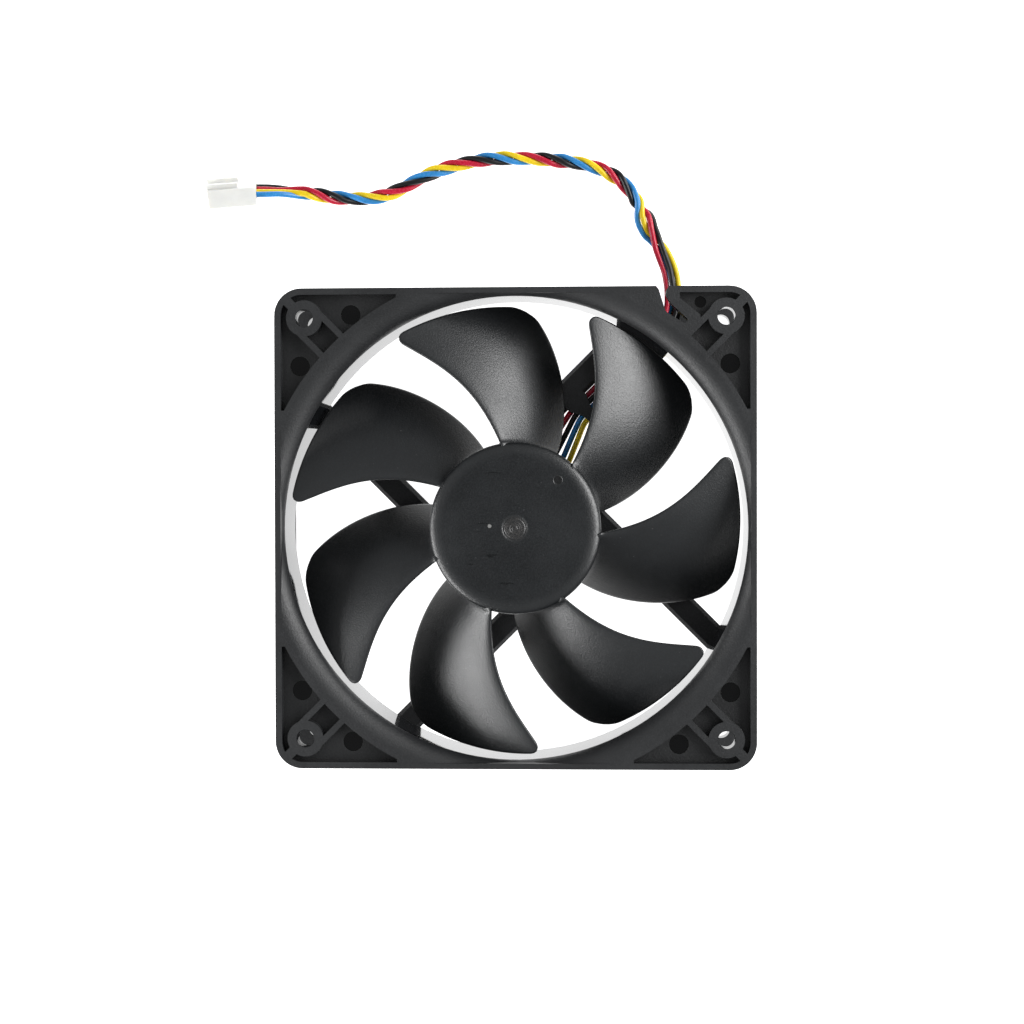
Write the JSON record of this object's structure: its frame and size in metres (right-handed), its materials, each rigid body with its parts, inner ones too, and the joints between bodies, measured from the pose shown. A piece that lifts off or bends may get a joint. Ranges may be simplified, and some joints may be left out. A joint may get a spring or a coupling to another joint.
{
  "type": "case fan",
  "caption": "Square axial case fan: black flanged frame with struts, forward-swept impeller on a brushless hub motor, and a short multi-wire lead ending in a white plug.",
  "frame": {"origin": "centre of the square frame on its rear mounting face, the face with the struts", "axes": "+Z along the rotor axis from the rear face to the front intake face; +X and +Y along the frame's sides, the lead leaves over the +Y side"},
  "size_m": [0.1409, 0.1577, 0.025],
  "materials": {
    "frame_plastic": "fine spark-eroded black moulding, slightly glossy",
    "impeller_plastic": "fine-grained black moulding, satin",
    "label_film": "blank silver-grey film",
    "brass": "turned",
    "bronze": "oil-filled sintered bronze",
    "nylon": "natural nylon",
    "black_rubber": "matt",
    "electrical_steel": "stamped and stacked",
    "white_insulator": "moulded",
    "copper_wire": "enamelled copper",
    "tinned_metal": "tin-plated",
    "board_green": "solder mask",
    "chip_black": "moulded epoxy",
    "component_tan": "sintered",
    "wire_red": "PVC insulation",
    "wire_black": "PVC insulation",
    "wire_blue": "PVC insulation",
    "wire_yellow": "PVC insulation",
    "wire_bundle": "PVC insulation",
    "milky_nylon": "natural translucent nylon",
    "yoke_steel": "deep-drawn",
    "magnet_compound": "bonded ferrite",
    "polished_steel": "ground and polished"
  },
  "bodies": {
    "housing": {"frame": "frame_plastic", "rear_label": "label_film", "bearing_tube": "brass", "sleeve_bearing": "bronze", "thrust_pad": "nylon", "oil_seal": "black_rubber", "stator_core": "electrical_steel", "lower_insulator": "white_insulator", "upper_insulator": "white_insulator", "windings": "copper_wire", "winding_posts": "tinned_metal", "circuit_board": "board_green", "driver_chip": "chip_black", "hall_sensor": "chip_black", "board_components": "component_tan", "lead_red": "wire_red", "lead_black": "wire_black", "lead_blue": "wire_blue", "lead_yellow": "wire_yellow", "lead_bundle": "wire_bundle", "connector_housing": "milky_nylon", "crimp_terminals": "tinned_metal"},
    "rotor": {"impeller": "impeller_plastic", "rotor_yoke": "yoke_steel", "ring_magnet": "magnet_compound", "shaft": "polished_steel", "shaft_bush": "brass", "upper_washer": "nylon", "lower_washer": "nylon", "retaining_clip": "nylon"}
  },
  "joints": [
    {"name": "rotor_spin", "type": "hinge", "parent": "housing", "child": "rotor", "pos_m": [0, 0, 0.0125], "axis": [0, 0, 1], "continuous": true}
  ]
}
